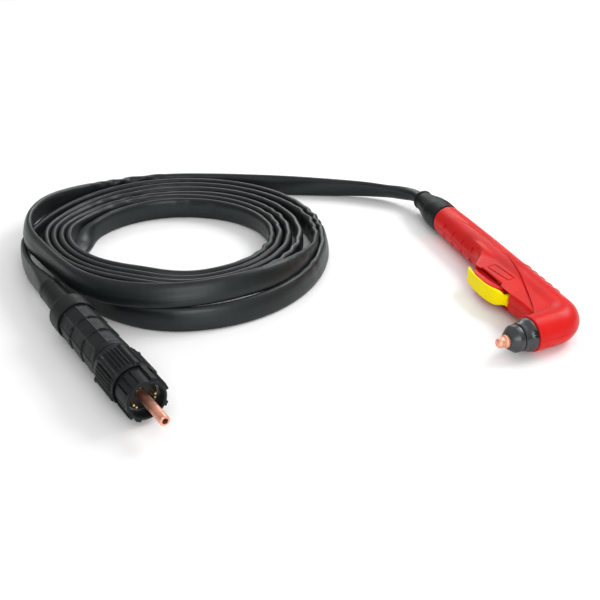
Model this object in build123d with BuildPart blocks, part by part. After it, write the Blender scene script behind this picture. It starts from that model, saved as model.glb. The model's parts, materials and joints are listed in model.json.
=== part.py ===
from build123d import *
import os
from math import cos, radians, sin, tan

os.makedirs("parts", exist_ok=True)

# ---------------------------------------------------------------- driving dimensions, mm
# The hand torch lies on its side on Z = 0. The handle's axis runs along +X from the hose
# end to the head, and the nozzle points to -Y.
grip_x = -102.3              # X of the joint between the rubber boot and the handle
axis_y = 31.5                # Y of the handle's axis
axis_z = 17.4                # height of the handle's axis above the rest plane
handle_length = 243.0        # boot joint to the point where the handle's and head's axes cross
handle_r = 17.2
shell_wall = 2.4
elbow_turn = 81.5            # angle between the handle's axis and the head's axis
elbow_bend_r = 19.0
head_length = 44.5           # axis crossing to the open end of the head
boot_length = 62.0
neck_length = 14.0
core_r = 6.4                 # copper cable and gas hose inside the sheath

housing_half = 12.0          # half thickness of the trigger housing
window_start = 126.0         # mouth that the trigger comes out of
window_end = 180.0
trigger_half = 8.2
lever_half = 8.8
lever_pivot_x = 189.0        # lever hinge, from the boot joint
lever_pivot_y = -24.0        # lever hinge, from the handle's axis
pivot_r = 1.5
pin_half = 10.0
hub_r = 4.4
hub_half = 6.0
running_gap = 0.05
loose_gap = 0.3
plunger_r = 1.5
switch_x = 152.0

cap_r = 15.8
cap_length = 12.6
shield_length = 12.4
nozzle_reach = 36.5          # open end of the head to the nozzle's tip
orifice_r = 0.6
collar_thread_r = 10.0

hose_width = 24.0
hose_thick = 7.5
coil_centre = (-160.8, -263.1)
coil_phase = 70.2            # turns the coil's own zero direction into the part's frame

connector_rear = (-27.0, -400.6)  # centre of the rear collar's back face
connector_heading = 12.7
connector_z = 22.7           # height of the connector's axis
grip_r = 19.0
grip_start = 20.0
grip_end = 106.0
nut_r = 21.0
nut_end = 149.0
barrel_r = 17.9
barrel_end = 174.0
carrier_end = 160.6            # front face of the pin carrier, inside the barrel
barrel_keys = [(291, 6.2), (241, 4.2), (155, 4.4), (129, 3.6), (336, 5.2)]  # angle, width
key_height = 2.3
barrel_slots = [16, 37, 58, 98, 189, 213, 314]
slot_depth = 1.6
slot_width = 1.8
gas_tube_r = 4.5
gas_shank_r = 4.3            # the tube's hidden shank
gas_tube_bore_r = 2.6
gas_tube_end = 206.5
sleeve_length = 48.0


# ---------------------------------------------------------------- planes and helpers
def torch_point(x, y, z=0.0):
    """A point given from the boot joint, along and across the handle."""
    return (grip_x + x, axis_y + y, axis_z + z)


def flat(height):
    """A plane parallel to the floor, measured from the handle's axis."""
    return Plane(origin=torch_point(0, 0, height))


def across(x, y, z):
    """A plane square to Y whose normal points away from the trigger."""
    return Plane(origin=torch_point(x, y, z), x_dir=(1, 0, 0), z_dir=(0, 1, 0))


def heading(degrees_from_x):
    angle = radians(degrees_from_x)
    return Vector(cos(angle), sin(angle), 0)


handle_plane = Plane(origin=torch_point(0, 0), x_dir=(1, 0, 0), z_dir=(0, 0, 1))
elbow = Vector(*torch_point(handle_length, 0))
head_plane = Plane(origin=elbow, x_dir=heading(-elbow_turn), z_dir=(0, 0, 1))
connector_plane = Plane(
    origin=(connector_rear[0], connector_rear[1], connector_z),
    x_dir=heading(connector_heading),
    z_dir=(0, 0, 1),
)


def square_to(plane, distance):
    """A plane square to another plane's own X direction, that far along it."""
    origin = plane.origin + plane.x_dir * distance
    return Plane(origin=origin, x_dir=(0, 0, 1), z_dir=plane.x_dir)


def turned(plane, *points):
    """Turns a closed profile of (along, radius) points about the plane's X direction."""
    with BuildSketch(plane) as profile:
        with BuildLine():
            Polyline(*points, close=True)
        make_face()
    revolve(profiles=profile.sketch, axis=Axis(plane.origin, plane.x_dir))


def write(part, label):
    part.label = label
    export_step(part, f"parts/{label}.step")


# ---------------------------------------------------------------- handle shells
tangent = elbow_bend_r * tan(radians(elbow_turn) / 2)


def handle_line(start, end):
    """The bent centre line of the handle and head."""
    with BuildLine() as line:
        leg = Line(torch_point(start, 0), torch_point(handle_length - tangent, 0))
        bend = TangentArc(leg @ 1, elbow + head_plane.x_dir * tangent, tangent=leg % 1)
        Line(bend @ 1, elbow + head_plane.x_dir * end)
    return line.wires()[0]


def housing_block(inset, half):
    """The trigger housing's solid, its sides moved in by the inset."""
    with BuildPart() as block:
        with BuildSketch(flat(-half)):
            with BuildLine():
                back = Line((72 + inset, -6), (72 + inset, -11 + inset))
                rise = ThreePointArc(
                    back @ 1, (100, -21 + inset), (124, -26 + inset)
                )
                side = Line(rise @ 1, (190, -28.5 + inset))
                nose = ThreePointArc(
                    side @ 1, (212, -30 + inset), (232 - inset, -30 + inset)
                )
                front = Line(nose @ 1, (232 - inset, -6))
                Line(front @ 1, back @ 0)
            make_face()
        extrude(amount=2 * half)
    return block


housing_outside = housing_block(0, housing_half)
housing_inside = housing_block(shell_wall, housing_half - shell_wall)

with BuildPart() as shell_pair:
    with BuildSketch(square_to(handle_plane, 0)):
        Circle(handle_r)
    sweep(path=handle_line(0, head_length))
    add(housing_outside.part)
    with BuildSketch(square_to(handle_plane, -1)):
        Circle(handle_r - shell_wall)
    sweep(path=handle_line(-1, head_length + 1), mode=Mode.SUBTRACT)
    add(housing_inside.part, mode=Mode.SUBTRACT)
    # neck that the boot grips
    turned(
        handle_plane,
        (-neck_length, 12.6), (-neck_length, 15.0), (1, 15.0), (1, 12.6),
    )
    # mouth of the trigger, open through the housing's lower side
    with BuildSketch(flat(-lever_half - loose_gap)):
        with BuildLine():
            Polyline(
                (window_start, -40), (window_end + 22, -40),
                (window_end + 22, -20), (window_end, -20),
                (window_end, -21), (window_start, -21),
                close=True,
            )
        make_face()
    extrude(amount=2 * (lever_half + loose_gap), mode=Mode.SUBTRACT)

screw_r = 1.45
screw_head_r = 2.8
screw_head_depth = 9.0
boss_r = 3.6
screw_spots = [(30, 9.0), (110, -12.5), (207, -17.5)]


def boss_reach(y):
    """Height of a boss's root, inside the shell wall."""
    return (handle_r - 1.2) * cos(radians(35)) if y > 0 else housing_half - 1.2


def shell_half(keep):
    """One half of the shell pair, parted along the torch's plane of symmetry."""
    side = 1 if keep == Keep.TOP else -1
    with BuildPart() as half:
        add(shell_pair.part)
        split(bisect_by=flat(0), keep=keep)
        # bosses for the screws and the lever's pin
        for x, y in screw_spots:
            with BuildSketch(flat(0)):
                with Locations((x, y)):
                    Circle(boss_r)
            extrude(amount=side * boss_reach(y))
        with BuildSketch(flat(side * (hub_half + loose_gap))):
            with Locations((lever_pivot_x, lever_pivot_y)):
                Circle(hub_r)
        extrude(amount=side * (housing_half - shell_wall - hub_half))
        # screw holes and the pin's blind holes
        with BuildSketch(flat(-housing_half - 6)):
            with Locations(*screw_spots):
                Circle(screw_r)
        extrude(amount=2 * housing_half + 4, mode=Mode.SUBTRACT)
        with BuildSketch(flat(-housing_half + 1)):
            with Locations((lever_pivot_x, lever_pivot_y)):
                Circle(pivot_r)
        extrude(amount=2 * housing_half - 2, mode=Mode.SUBTRACT)
        if keep == Keep.BOTTOM:
            with BuildSketch(flat(-handle_r - 1)):
                with Locations(*screw_spots):
                    Circle(screw_head_r)
            extrude(amount=handle_r + 1 - screw_head_depth, mode=Mode.SUBTRACT)
    return half


upper = shell_half(Keep.TOP)
write(upper.part, "handle_shell_upper")
lower = shell_half(Keep.BOTTOM)
write(lower.part, "handle_shell_lower")

with BuildPart() as screws:
    for spot in screw_spots:
        with BuildSketch(flat(-screw_head_depth)):
            with Locations(spot):
                Circle(screw_r)
        extrude(amount=screw_head_depth + 7)
        with BuildSketch(flat(-screw_head_depth - 2)):
            with Locations(spot):
                Circle(screw_head_r - 0.1)
                RegularPolygon(1.1, 6, mode=Mode.SUBTRACT)
        extrude(amount=2)
write(screws.part, "handle_screws")

# ---------------------------------------------------------------- boot and hose end
with BuildPart() as boot:
    turned(
        handle_plane,
        (-boot_length, core_r + 0.1), (-boot_length, 11.2), (-boot_length + 3.2, 11.6),
        (-boot_length + 4.6, 10.4), (-43, 13.2), (-26, 17.0), (-20, 17.4), (-0.1, 17.0),
        (-0.1, 15.1), (-neck_length - 0.5, 15.1), (-neck_length - 0.5, 12.0),
        (-26, 11.0), (-40, 9.2), (-44, core_r + 0.1),
    )
write(boot.part, "cable_boot")

with BuildPart() as core:
    turned(handle_plane, (-boot_length + 1, 0), (-boot_length + 1, core_r), (-4, core_r), (-4, 0))
write(core.part, "power_gas_hose_core")

with BuildPart() as clamp:
    turned(handle_plane, (-34, core_r), (-34, core_r + 1.2), (-28, core_r + 1.2), (-28, core_r))
    with BuildSketch(across(-31, core_r + 0.5, 0)):
        Rectangle(4, 4)
    extrude(amount=2.0)
write(clamp.part, "hose_clamp")

with BuildPart() as union:
    with BuildSketch(square_to(handle_plane, -4)):
        RegularPolygon(7.2, 6)
    extrude(amount=9)
    with BuildSketch(square_to(handle_plane, 5)):
        Circle(5.2)
    extrude(amount=5)
write(union.part, "pipe_union")

pipe_r = 3.5
pipe_bend = 14.0
with BuildPart() as pipe:
    with BuildLine() as pipe_line:
        leg = Line(torch_point(10, 0), torch_point(handle_length - pipe_bend, 0))
        TangentArc(leg @ 1, elbow + head_plane.x_dir * pipe_bend, tangent=leg % 1)
    with BuildSketch(square_to(handle_plane, 10)):
        Circle(pipe_r)
    sweep(path=pipe_line.wires()[0])
write(pipe.part, "gas_power_pipe")


def wire_run(points, radius, label):
    """A thin insulated wire laid in straight runs and tangent arcs."""
    with BuildPart() as wire:
        with BuildLine() as line:
            FilletPolyline(*[torch_point(*point) for point in points], radius=4)
        with BuildSketch(Plane(origin=line.wires()[0] @ 0, z_dir=line.wires()[0] % 0)):
            Circle(radius)
        sweep(path=line.wires()[0])
    write(wire.part, label)


def switch_wire(height, label):
    run = [(-3, -8.6, height), (50, -6.8, height), (120, -6.8, height), (136.4, -10.0, height)]
    wire_run(run, 0.8, label)


wire_run([(-3, 1, 9.2), (14, 1, 9.2), (40, 1, 6.5), (226, 1, 6.2)], 1.1, "pilot_arc_wire")
switch_wire(3.5, "switch_wire_red")
switch_wire(-3.5, "switch_wire_white")

# ---------------------------------------------------------------- trigger group
with BuildPart() as switch:
    with BuildSketch(across(switch_x, -16, 0)):
        Rectangle(24, 10)
    extrude(amount=10)
    with BuildSketch(across(switch_x, -17, 0)):
        Circle(plunger_r + running_gap)
    extrude(amount=8.5, mode=Mode.SUBTRACT)
    for height in (-3.5, 3.5):
        with BuildSketch(Plane(origin=torch_point(136.5, -10, height), z_dir=(1, 0, 0))):
            Rectangle(2.4, 1.2)
        extrude(amount=4)
write(switch.part, "microswitch_body")

with BuildPart() as plunger:
    with BuildSketch(across(switch_x, -19.8, 0)):
        Circle(plunger_r)
    extrude(amount=8)
write(plunger.part, "microswitch_plunger")

with BuildPart() as trigger:
    with BuildSketch(flat(-trigger_half)):
        with BuildLine():
            inner = Line((window_start + 2, -22), (window_end - 3, -22))
            front = Line(inner @ 1, (window_end - 3, -34.0))
            face = ThreePointArc(front @ 1, (155, -40.6), (window_start + 2, -33.6))
            Line(face @ 1, inner @ 0)
        make_face()
    extrude(amount=2 * trigger_half)
    # flange that keeps the trigger inside the housing
    with BuildSketch(across((window_start + window_end) / 2 - 1, -23, 0)):
        Rectangle(52, 2 * trigger_half + 2)
    extrude(amount=2.8)
write(trigger.part, "trigger_button")

spring_x = 170.0
spring_r = 2.6
spring_wire_r = 0.35
spring_top = -9.0
spring_foot = -20.0
with BuildPart() as spring:
    with BuildLine(across(spring_x, spring_foot + 0.5, 0)) as coil_line:
        Helix(2.5, spring_top - spring_foot - 1, spring_r, direction=(0, 1, 0))
    with BuildSketch(Plane(origin=coil_line.wires()[0] @ 0, z_dir=coil_line.wires()[0] % 0)):
        Circle(spring_wire_r)
    sweep(path=coil_line.wires()[0], is_frenet=True)
write(spring.part, "trigger_spring")

lever_gap = 0.5
with BuildPart() as lever:
    with BuildSketch(flat(-lever_half)):
        with BuildLine():
            inner = ThreePointArc(
                (window_start - 1, -34.4), (155, -40.6 - lever_gap), (window_end - 1, -34.6)
            )
            hip = Line(inner @ 1, (window_end + 3, -31.5))
            nose = Line(hip @ 1, (lever_pivot_x - 1.3, -32.0))
            toe = Line(nose @ 1, (lever_pivot_x - 4.0, -39.6))
            outer = ThreePointArc(toe @ 1, (158, -44.7), (window_start - 3, -37.4))
            Line(outer @ 1, inner @ 0)
        make_face()
    extrude(amount=2 * lever_half)
    with BuildSketch(flat(-hub_half)):
        with Locations((lever_pivot_x, lever_pivot_y)):
            Circle(hub_r)
        with Locations((lever_pivot_x - 1.6, (lever_pivot_y - 33) / 2)):
            Rectangle(1.2 * hub_r, 33 + lever_pivot_y)
    extrude(amount=2 * hub_half)
    with BuildSketch(flat(-lever_half - 1)):
        with Locations((lever_pivot_x, lever_pivot_y)):
            Circle(pivot_r + running_gap)
    extrude(amount=2 * lever_half + 2, mode=Mode.SUBTRACT)
write(lever.part, "safety_lever")

with BuildPart() as pin:
    with BuildSketch(flat(-pin_half)):
        with Locations((lever_pivot_x, lever_pivot_y)):
            Circle(pivot_r)
    extrude(amount=2 * pin_half)
write(pin.part, "lever_pivot_pin")

# ---------------------------------------------------------------- torch head
with BuildPart() as head_block:
    turned(
        head_plane,
        (16, 4.4), (16, 14.0), (40, 14.7), (40, 8.6), (24, 8.6), (24, 4.4),
    )
write(head_block.part, "head_insulator")

with BuildPart() as collar:
    turned(
        head_plane,
        (24.1, 4.4), (24.1, 8.5), (42, 8.5), (42, collar_thread_r), (52, collar_thread_r),
        (52, 7.4), (30, 7.4), (30, 4.4),
    )
write(collar.part, "head_brass_collar")

with BuildPart() as cathode:
    turned(
        head_plane,
        (14.1, 0), (14.1, 4.3), (44, 4.3), (44, 2.2), (36, 2.2), (36, 0),
    )
write(cathode.part, "cathode_body")

with BuildPart() as electrode:
    turned(
        head_plane,
        (36.1, 0), (36.1, 2.1), (44.1, 2.1), (44.1, 4.3), (50, 4.3), (50, 3.1), (66, 3.1),
        (67.4, 1.7), (67.4, 0.8), (64.4, 0.8), (64.4, 0),
    )
write(electrode.part, "electrode")

with BuildPart() as emitter:
    turned(head_plane, (64.5, 0), (64.5, 0.75), (67.4, 0.75), (67.4, 0))
write(emitter.part, "hafnium_insert")

swirl_ports = 6
with BuildPart() as swirl:
    turned(head_plane, (44.3, 4.5), (44.3, 7.3), (56, 7.3), (56, 4.5))
    for port in range(swirl_ports):
        outward = Vector(0, 1, 0).rotate(Axis.X, 360 * port / swirl_ports)
        mouth = head_plane.from_local_coords(Vector(53.5, 0, 0) + outward * 8)
        middle = head_plane.from_local_coords(Vector(53.5, 0, 0))
        with BuildSketch(Plane(origin=mouth, z_dir=middle - mouth)):
            Circle(0.5)
        extrude(amount=4.5, mode=Mode.SUBTRACT)
write(swirl.part, "swirl_ring")

with BuildPart() as o_ring:
    turned(head_plane, (43.0, 10.05), (43.0, 11.3), (44.2, 11.3), (44.2, 10.05))
write(o_ring.part, "head_o_ring")

nozzle_tip = head_length + nozzle_reach
with BuildPart() as nozzle:
    turned(
        head_plane,
        (56.2, 5.0), (56.2, 8.6), (58.4, 8.6), (58.4, 6.1), (72.6, 6.1), (73.4, 4.9),
        (nozzle_tip - 2.4, 4.8), (nozzle_tip - 0.6, 3.6), (nozzle_tip, 2.2),
        (nozzle_tip, orifice_r), (72.5, orifice_r), (69.5, 4.4), (60, 4.4), (60, 5.0),
    )
write(nozzle.part, "cutting_nozzle")

cap_start = head_length + 0.4
cap_front = cap_start + cap_length
with BuildPart() as cap:
    turned(
        head_plane,
        (cap_start, 12.2), (cap_start, cap_r), (cap_start + 3, cap_r),
        (cap_start + 6, cap_r - 1.6), (cap_front - 0.8, cap_r - 2.9),
        (cap_front, cap_r - 3.6), (cap_front, 9.0), (54.2, 9.0), (54.2, 12.2),
    )
write(cap.part, "retaining_cap")

with BuildPart() as cap_insert:
    turned(
        head_plane,
        (cap_start, collar_thread_r + running_gap), (cap_start, 12.1), (54.1, 12.1),
        (54.1, collar_thread_r + running_gap),
    )
write(cap_insert.part, "cap_thread_insert")

shield_start = cap_front + 0.1
shield_front = shield_start + shield_length
with BuildPart() as shield:
    turned(
        head_plane,
        (shield_start, 8.9), (shield_start, cap_r - 3.6), (shield_start + 0.8, cap_r - 3.0),
        (shield_start + 5.4, cap_r - 3.2), (shield_start + 6.4, cap_r - 3.8),
        (shield_front, 7.4), (shield_front, 6.4), (shield_start + 6, 8.9),
    )
write(shield.part, "shield_cap")

# ---------------------------------------------------------------- connector
with BuildPart() as sleeve:
    turned(
        connector_plane,
        (-sleeve_length, core_r + 0.1), (-sleeve_length, 11.6), (-30, 12.6), (0, 14.0),
        (19, 14.0), (19, core_r + 0.1),
    )
write(sleeve.part, "connector_rear_sleeve")

with BuildPart() as rear_collar:
    turned(
        connector_plane,
        (0, 14.1), (0, 18.6), (1.6, 19.9), (22, 19.9), (23.6, 19.1), (23.6, 17.1), (18, 17.1),
        (18, 14.1),
    )
write(rear_collar.part, "connector_rear_collar")

with BuildPart() as grip:
    turned(
        connector_plane,
        (grip_start, 14.2), (grip_start, 17.0), (24, 17.0), (24, grip_r), (grip_end, grip_r),
        (grip_end, 12.0), (grip_end - 4, 12.0), (grip_end - 4, 14.2),
    )
write(grip.part, "connector_grip")

with BuildPart() as lock_nut:
    turned(
        connector_plane,
        (grip_end + 0.4, barrel_r + running_gap), (grip_end + 0.4, 19.0), (grip_end + 6, 19.8),
        (grip_end + 8, nut_r - 0.6), (nut_end - 1, nut_r - 0.6), (nut_end, nut_r - 1.4),
        (nut_end, barrel_r + running_gap),
    )
    with BuildSketch(square_to(connector_plane, grip_end + 9)):
        with PolarLocations(nut_r - 0.5, 28):
            Circle(1.2)
        with PolarLocations(nut_r - 0.4, 4):
            Circle(2.0)
        Circle(barrel_r + 1, mode=Mode.SUBTRACT)
    extrude(amount=nut_end - grip_end - 10.5)
write(lock_nut.part, "connector_lock_nut")

with BuildPart() as barrel:
    turned(
        connector_plane,
        (grip_end + 0.1, 9.0), (grip_end + 0.1, barrel_r), (barrel_end - 0.9, barrel_r),
        (barrel_end, barrel_r - 0.9), (barrel_end, 15.7), (barrel_end - 0.5, 15.2),
        (138, 15.2), (138, 9.0),
    )
    # keys that guide the barrel into the machine's socket, and the slots between them
    for angle, width in barrel_keys:
        with BuildSketch(square_to(connector_plane, nut_end + 1.2)):
            with PolarLocations(barrel_r, 1, start_angle=angle):
                Rectangle(2 * key_height, width)
            Circle(barrel_r - 0.6, mode=Mode.SUBTRACT)
        extrude(amount=barrel_end - nut_end - 2.8)
    with BuildSketch(square_to(connector_plane, nut_end + 2.4)):
        for angle in barrel_slots:
            with PolarLocations(barrel_r, 1, start_angle=angle):
                Rectangle(2 * slot_depth, slot_width)
    extrude(amount=barrel_end - nut_end - 6.4, mode=Mode.SUBTRACT)
write(barrel.part, "connector_barrel")

pin_reach = 10.4
pin_angles = [14, 32, 118, 138, 250, 268]
pin_r = 0.9


def pin_circles(mode):
    for angle in pin_angles:
        with PolarLocations(pin_reach, 1, start_angle=angle):
            Circle(pin_r, mode=mode)


with BuildPart() as carrier:
    with BuildSketch(square_to(connector_plane, 138.1)):
        Circle(15.1)
        Circle(gas_shank_r + running_gap, mode=Mode.SUBTRACT)
        pin_circles(Mode.SUBTRACT)
    extrude(amount=carrier_end - 138.1)
write(carrier.part, "pin_carrier")

with BuildPart() as pins:
    with BuildSketch(square_to(connector_plane, 138.2)):
        pin_circles(Mode.ADD)
    extrude(amount=28.8)
write(pins.part, "contact_pins")

with BuildPart() as circlip:
    with BuildSketch(square_to(connector_plane, carrier_end + 0.6)):
        Circle(15.1)
        Circle(13.6, mode=Mode.SUBTRACT)
        with Locations((14, 0)):
            Rectangle(6, 3, mode=Mode.SUBTRACT)
    extrude(amount=1.2)
write(circlip.part, "circlip")

with BuildPart() as gas_tube:
    turned(
        connector_plane,
        (96, gas_tube_bore_r), (96, gas_shank_r), (carrier_end + 1.9, gas_shank_r),
        (carrier_end + 1.9, gas_tube_r),
        (gas_tube_end - 0.6, gas_tube_r),
        (gas_tube_end, gas_tube_r - 0.6), (gas_tube_end, gas_tube_bore_r),
    )
write(gas_tube.part, "central_gas_tube")

with BuildPart() as crimp:
    turned(
        connector_plane,
        (60, 4.5), (60, 8.8), (95.9, 8.8), (95.9, gas_tube_bore_r), (88, gas_tube_bore_r),
        (88, 4.5),
    )
write(crimp.part, "cable_crimp_socket")

with BuildPart() as connector_core:
    turned(
        connector_plane,
        (1 - sleeve_length, 0), (1 - sleeve_length, core_r), (59.9, core_r), (59.9, 0),
    )
write(connector_core.part, "connector_hose_core")

# ---------------------------------------------------------------- hose
# Each point is a corner of the hose's centre line. The flat hose stands on its edge.
torch_route = [
    torch_point(-boot_length - 0.1, 0), torch_point(-boot_length - 12, 0),
    (-194.8, 20.0, 15.4), (-210.8, 4.0, 13.8), (-225.3, -13.0, 12.9), (-239.8, -38.0, 12.3),
    (-261.8, -81.0, 12.1), (-285.3, -128.5, 12.1), (-309.8, -179.0, 12.1),
]
sleeve_end = connector_plane.origin - connector_plane.x_dir * (sleeve_length + 0.1)
before_sleeve = connector_plane.origin - connector_plane.x_dir * (sleeve_length + 14)
connector_route = [
    (-207.8, -424.0, 12.1), (-187.8, -428.0, 12.4), (-164.8, -429.3, 13.6),
    (-137.8, -427.5, 16.2), (-111.8, -421.8, 19.2), tuple(before_sleeve),
    tuple(sleeve_end),
]


def hose_tube(route, label):
    """A flat tube along straight runs and tangent arcs, as large as the runs allow."""
    radii = []
    for before, here, after in zip(route, route[1:], route[2:]):
        run_in = Vector(*here) - Vector(*before)
        run_out = Vector(*after) - Vector(*here)
        half_turn = radians(run_in.get_angle(run_out)) / 2
        radii.append(0.45 * min(run_in.length, run_out.length) / tan(half_turn))
    with BuildPart() as tube:
        with BuildLine() as line:
            FilletPolyline(*route, radius=radii)
        path = line.wires()[0]
        start = path % 0
        section = Plane(origin=path @ 0, x_dir=Vector(0, 0, 1).cross(start), z_dir=start)
        with BuildSketch(section) as outline:
            RectangleRounded(hose_thick, hose_width, 2.5)
        sweep(path=path)
    print(label, "arc radii", [round(radius) for radius in radii])
    expected = outline.sketch.area * path.length
    print("volume", round(tube.part.volume), "section by length", round(expected))
    write(tube.part, label)


hose_tube(torch_route, "hose_tube_torch_side")
hose_tube(connector_route, "hose_tube_connector_side")

# The coil's edges: angle round the coil and radius, anticlockwise.
outer_edge = [
    (0, 164), (22, 162), (45, 161), (66, 161), (75, 164), (83, 173), (92, 176), (110, 175),
    (135, 173), (160, 172), (178, 171), (187, 164), (200, 159), (225, 155), (245, 157),
    (262, 167), (277, 174), (293, 176), (315, 175), (338, 170),
]
inner_edge = [
    (0, 93), (45, 91), (90, 87), (135, 93), (180, 103), (225, 95), (270, 85), (315, 87),
]
raised_outer = [
    (150, 170), (180, 166), (205, 160), (225, 156), (245, 160), (270, 167), (300, 167),
    (335, 158),
]
raised_inner = [
    (335, 140), (300, 146), (270, 146), (245, 140), (225, 137), (205, 142), (180, 150),
    (150, 156),
]
layer_height = 24.2
coil_height = 49.0


def coil_points(edge):
    """Points of an edge given as angles and radii about the coil's centre."""
    centre = Vector(coil_centre[0], coil_centre[1], 0)
    return [centre + heading(angle + coil_phase) * radius for angle, radius in edge]


with BuildPart() as hose_coil:
    with BuildSketch():
        with BuildLine():
            Spline(*coil_points(outer_edge), periodic=True)
        make_face()
        with BuildLine():
            Spline(*coil_points(inner_edge), periodic=True)
        make_face(mode=Mode.SUBTRACT)
    extrude(amount=layer_height)
    # the first turn lies on top of the others along one side
    with BuildSketch(Plane.XY.offset(layer_height - 0.2)):
        with BuildLine():
            far_side = Spline(*coil_points(raised_outer))
            near_side = Spline(*coil_points(raised_inner))
            Line(far_side @ 1, near_side @ 0)
            Line(near_side @ 1, far_side @ 0)
        make_face()
    extrude(amount=coil_height - layer_height + 0.2)
write(hose_coil.part, "hose_coil")
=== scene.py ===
import json
import math

import bpy
import numpy as np
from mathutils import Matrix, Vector


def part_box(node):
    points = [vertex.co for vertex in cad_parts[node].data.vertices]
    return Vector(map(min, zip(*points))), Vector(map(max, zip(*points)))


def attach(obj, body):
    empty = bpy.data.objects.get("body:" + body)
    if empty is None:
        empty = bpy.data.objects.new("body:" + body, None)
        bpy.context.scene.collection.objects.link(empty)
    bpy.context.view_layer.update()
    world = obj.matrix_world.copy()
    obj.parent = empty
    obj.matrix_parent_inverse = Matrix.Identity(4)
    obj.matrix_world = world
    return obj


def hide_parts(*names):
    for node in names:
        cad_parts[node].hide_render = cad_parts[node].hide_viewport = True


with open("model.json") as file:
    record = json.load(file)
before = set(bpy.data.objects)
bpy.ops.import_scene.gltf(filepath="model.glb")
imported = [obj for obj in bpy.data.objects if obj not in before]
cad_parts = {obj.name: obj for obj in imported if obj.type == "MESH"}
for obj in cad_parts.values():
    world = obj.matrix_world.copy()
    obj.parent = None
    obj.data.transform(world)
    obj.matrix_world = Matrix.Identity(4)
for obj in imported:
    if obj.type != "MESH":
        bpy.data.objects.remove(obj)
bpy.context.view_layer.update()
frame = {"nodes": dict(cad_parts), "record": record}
MM = 0.001

# ---------------------------------------------------------------- places, mm
# The handle's axis runs along +X, the nozzle points to -Y and the floor is Z = 0.
record = frame["record"]
mounts = {mount["name"]: mount for mount in record["mounts"]}
joints = {joint["name"]: joint for joint in record["behaviour"]["joints"]}
LEVER_PIVOT = np.array([189.0, -24.0, 0.0])      # from the boot joint
BOOT_JOINT = np.array(joints["safety_lever_swing"]["pos_m"]) / MM - LEVER_PIVOT
HANDLE_LENGTH = 243.0
HEAD_DIR = np.array(mounts["nozzle_tip"]["axis"])
TURN = -math.atan2(HEAD_DIR[1], HEAD_DIR[0])
BEND_R = 19.0
TANGENT = BEND_R * math.tan(TURN / 2)
HEAD_LENGTH = 44.5
ELBOW = BOOT_JOINT + np.array([HANDLE_LENGTH, 0, 0])
CONNECTOR_DIR = np.array(mounts["gas_tube_end"]["axis"])
GAS_TUBE_MOUNT = 184.2                           # from the rear collar, along the connector
CONNECTOR = np.array(mounts["gas_tube_end"]["pos_m"]) / MM - CONNECTOR_DIR * GAS_TUBE_MOUNT
coil_low, coil_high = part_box("hose_coil")
COIL_CENTRE = (np.array(coil_low) + np.array(coil_high))[:2] / (2 * MM)
COIL_PHASE = 70.2                                # turns the coil to face the camera, degrees
SLEEVE_LENGTH = 48.0
BOOT_LENGTH = 62.0
UP = np.array([0.0, 0.0, 1.0])


# ---------------------------------------------------------------- small maths
def ramp(x, a, b):
    """0 before a, 1 after b, smooth between."""
    t = np.clip((np.asarray(x, float) - a) / (b - a), 0, 1)
    return t * t * (3 - 2 * t)


def bell(x, centre, width):
    """1 at the centre, falling to nearly nothing two widths away."""
    return np.exp(-(((np.asarray(x, float) - centre) / width) ** 2))


def smooth_max(a, b, k):
    """The larger value, with the corner between the two rounded over k."""
    h = np.clip(0.5 + 0.5 * (a - b) / k, 0, 1)
    return b + (a - b) * h + k * h * (1 - h)


def smooth_min(a, b, k):
    """The smaller value, with the corner between the two rounded over k."""
    return -smooth_max(-a, -b, k)


def curve_through(table):
    """A smooth function through (x, y) pairs, monotone between them."""
    xs = np.array([p[0] for p in table], float)
    ys = np.array([p[1] for p in table], float)
    slopes = np.zeros(len(xs))
    rises = np.diff(ys) / np.diff(xs)
    for i in range(1, len(xs) - 1):
        if rises[i - 1] * rises[i] > 0:
            slopes[i] = 2 * rises[i - 1] * rises[i] / (rises[i - 1] + rises[i])

    def at(x):
        x = np.clip(np.asarray(x, float), xs[0], xs[-1])
        i = np.clip(np.searchsorted(xs, x, side="right") - 1, 0, len(xs) - 2)
        gap = xs[i + 1] - xs[i]
        t = (x - xs[i]) / gap
        a = 2 * t**3 - 3 * t**2 + 1
        b = t**3 - 2 * t**2 + t
        c = -2 * t**3 + 3 * t**2
        d = t**3 - t**2
        return a * ys[i] + b * gap * slopes[i] + c * ys[i + 1] + d * gap * slopes[i + 1]

    return at


# ---------------------------------------------------------------- materials
def material(name, color, rough, metal=0.0, build=None, **inputs):
    """A principled material; build adds its detail, and inputs are sockets by name."""
    mat = bpy.data.materials.new(name)
    mat.use_nodes = True
    nodes = mat.node_tree.nodes
    links = mat.node_tree.links
    shader = nodes["Principled BSDF"]
    shader.inputs["Base Color"].default_value = (*color, 1)
    shader.inputs["Roughness"].default_value = rough
    shader.inputs["Metallic"].default_value = metal
    for key, value in inputs.items():
        shader.inputs[key.replace("_", " ")].default_value = value
    if build:
        build(nodes, links, shader, color, rough)
    return mat


def noise_node(nodes, links, scale, detail=3.0, stretch=None, coords="Object"):
    """A noise value in metres of the object, or along the mesh with coords "UV"."""
    place = nodes.new("ShaderNodeTexCoord")
    noise = nodes.new("ShaderNodeTexNoise")
    noise.inputs["Scale"].default_value = scale
    noise.inputs["Detail"].default_value = detail
    mapping = nodes.new("ShaderNodeMapping")
    if stretch:
        mapping.inputs["Scale"].default_value = stretch
    links.new(place.outputs[coords], mapping.inputs["Vector"])
    links.new(mapping.outputs["Vector"], noise.inputs["Vector"])
    return noise.outputs["Fac"]


def ranged(nodes, links, value, low, high):
    """Spreads the middle of a noise value, 0.3 to 0.7, over low to high."""
    change = nodes.new("ShaderNodeMapRange")
    change.inputs["From Min"].default_value = 0.3
    change.inputs["From Max"].default_value = 0.7
    change.inputs["To Min"].default_value = low
    change.inputs["To Max"].default_value = high
    links.new(value, change.inputs["Value"])
    return change.outputs["Result"]


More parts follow.
